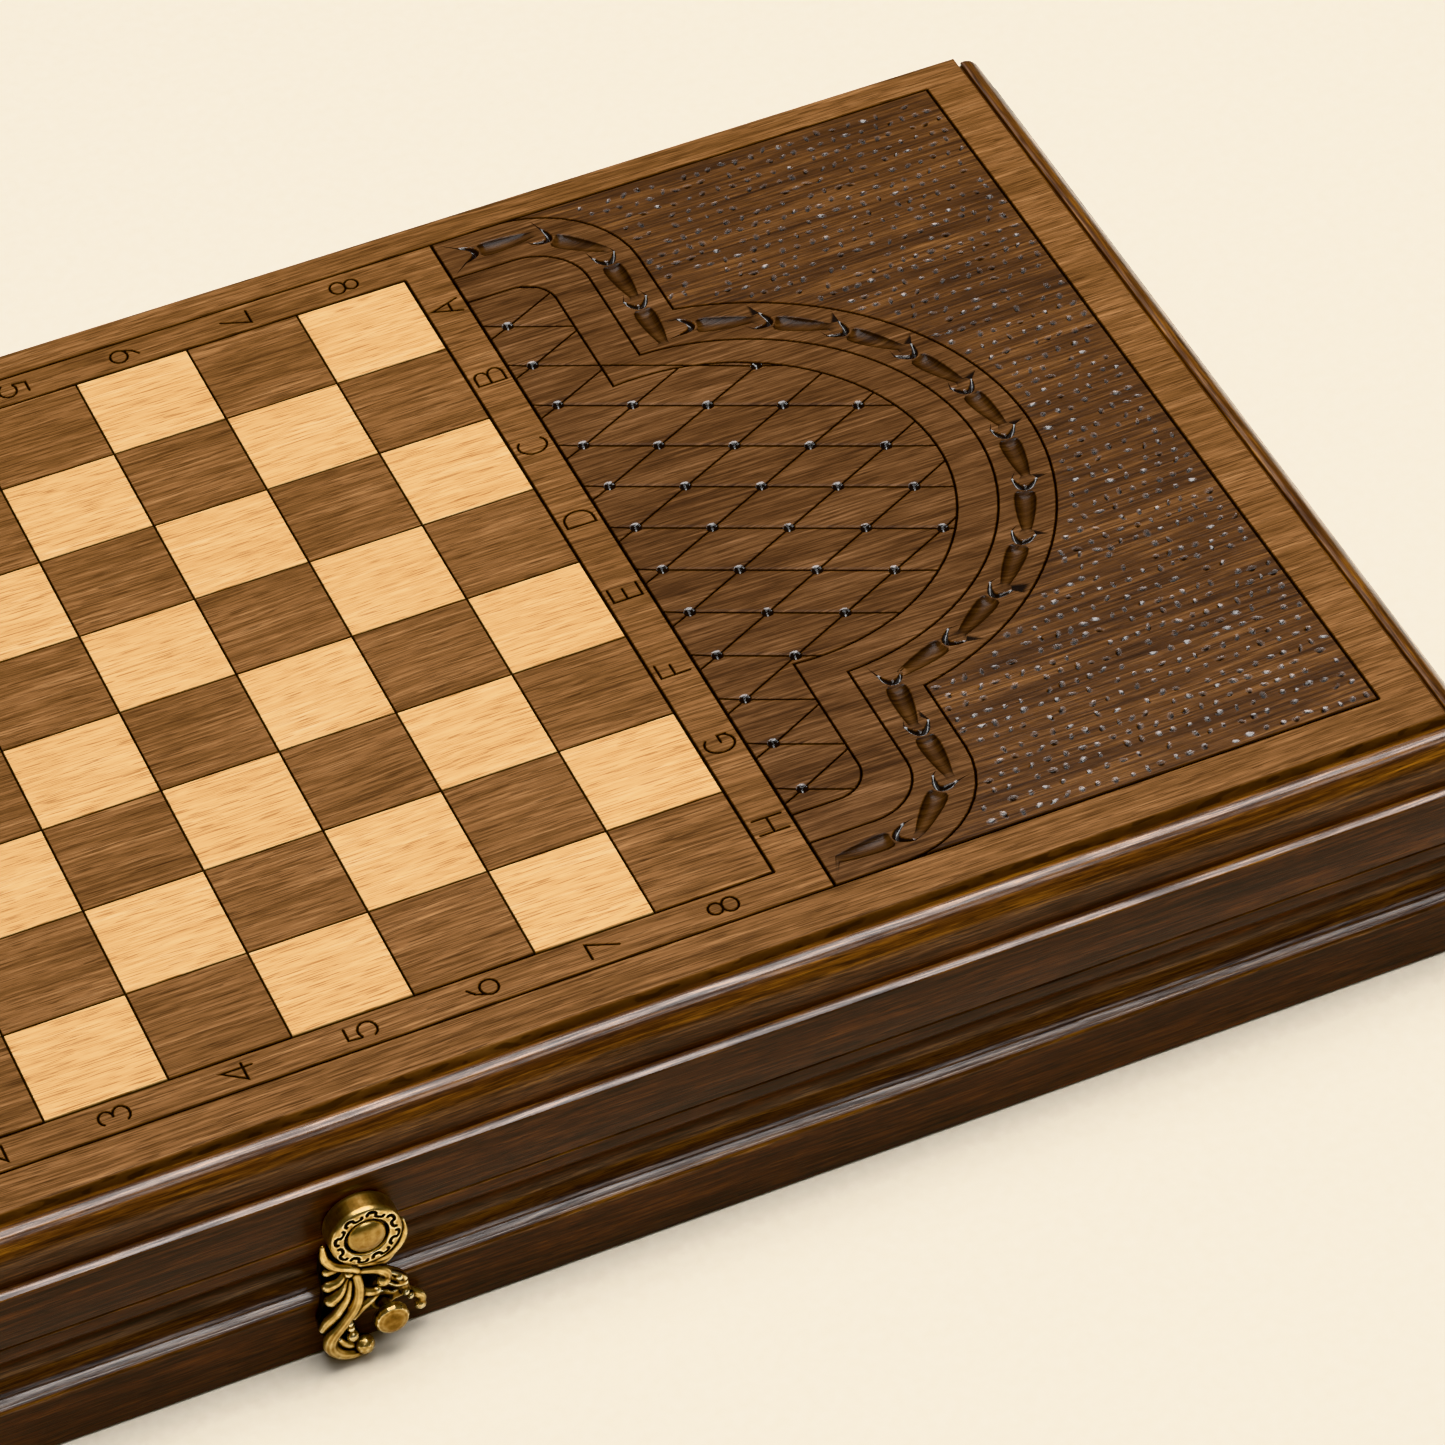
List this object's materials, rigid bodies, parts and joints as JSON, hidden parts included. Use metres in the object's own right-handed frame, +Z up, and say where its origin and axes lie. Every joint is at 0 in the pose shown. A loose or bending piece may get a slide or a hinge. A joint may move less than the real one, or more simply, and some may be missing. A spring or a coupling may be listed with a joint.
{
  "type": "backgammon case",
  "caption": "Folding wooden backgammon case with moulded sides, a carved chess and draughts board on the lid, a brass hook latch, inlaid playing fields, checkers and dice.",
  "frame": {"origin": "on the underside of the base, below the middle of the board on the lid", "axes": "+X to the right along the long side, +Y to the hinge side, +Z up"},
  "size_m": [0.501, 0.2582, 0.0569],
  "materials": {
    "stained_beech": "gloss varnish",
    "carved_beech": "satin varnish",
    "field_wood": "satin varnish",
    "light_inlay": "satin varnish",
    "dark_inlay": "satin varnish",
    "light_checker": "gloss varnish",
    "dark_checker": "gloss varnish",
    "antique_brass": "antiqued",
    "hinge_brass": "polished",
    "die_plastic": "polished"
  },
  "bodies": {
    "base": {"base_front_rail": "stained_beech", "base_rear_rail": "stained_beech", "base_left_rail": "stained_beech", "base_right_rail": "stained_beech", "base_bottom_board": "stained_beech", "base_field": "field_wood", "base_light_points": "light_inlay", "base_dark_points": "dark_inlay", "latch_catch": "antique_brass", "hinge_left_base_leaf": "hinge_brass", "hinge_right_base_leaf": "hinge_brass", "hinge_left_pin": "hinge_brass", "hinge_right_pin": "hinge_brass", "base_hinge_screws": "hinge_brass", "light_checkers": "light_checker", "dark_checkers": "dark_checker", "die_one": "die_plastic", "die_two": "die_plastic"},
    "lid": {"lid_front_rail": "stained_beech", "lid_rear_rail": "stained_beech", "lid_left_rail": "stained_beech", "lid_right_rail": "stained_beech", "lid_panel": "carved_beech", "lid_field": "field_wood", "lid_light_points": "light_inlay", "lid_dark_points": "dark_inlay", "hinge_left_lid_leaf": "hinge_brass", "hinge_right_lid_leaf": "hinge_brass", "lid_hinge_screws": "hinge_brass", "latch_pivot_screw": "antique_brass"},
    "hook": {"latch_hook": "antique_brass"}
  },
  "joints": [
    {"name": "lid_hinge", "type": "hinge", "parent": "base", "child": "lid", "pos_m": [0, 0.1183, 0.03135], "axis": [-1, 0, 0], "range_deg": [0, 180]},
    {"name": "hook_pivot", "type": "hinge", "parent": "lid", "child": "hook", "pos_m": [0, -0.1335, 0.034], "axis": [0, 1, 0], "range_deg": [0, 90]}
  ]
}
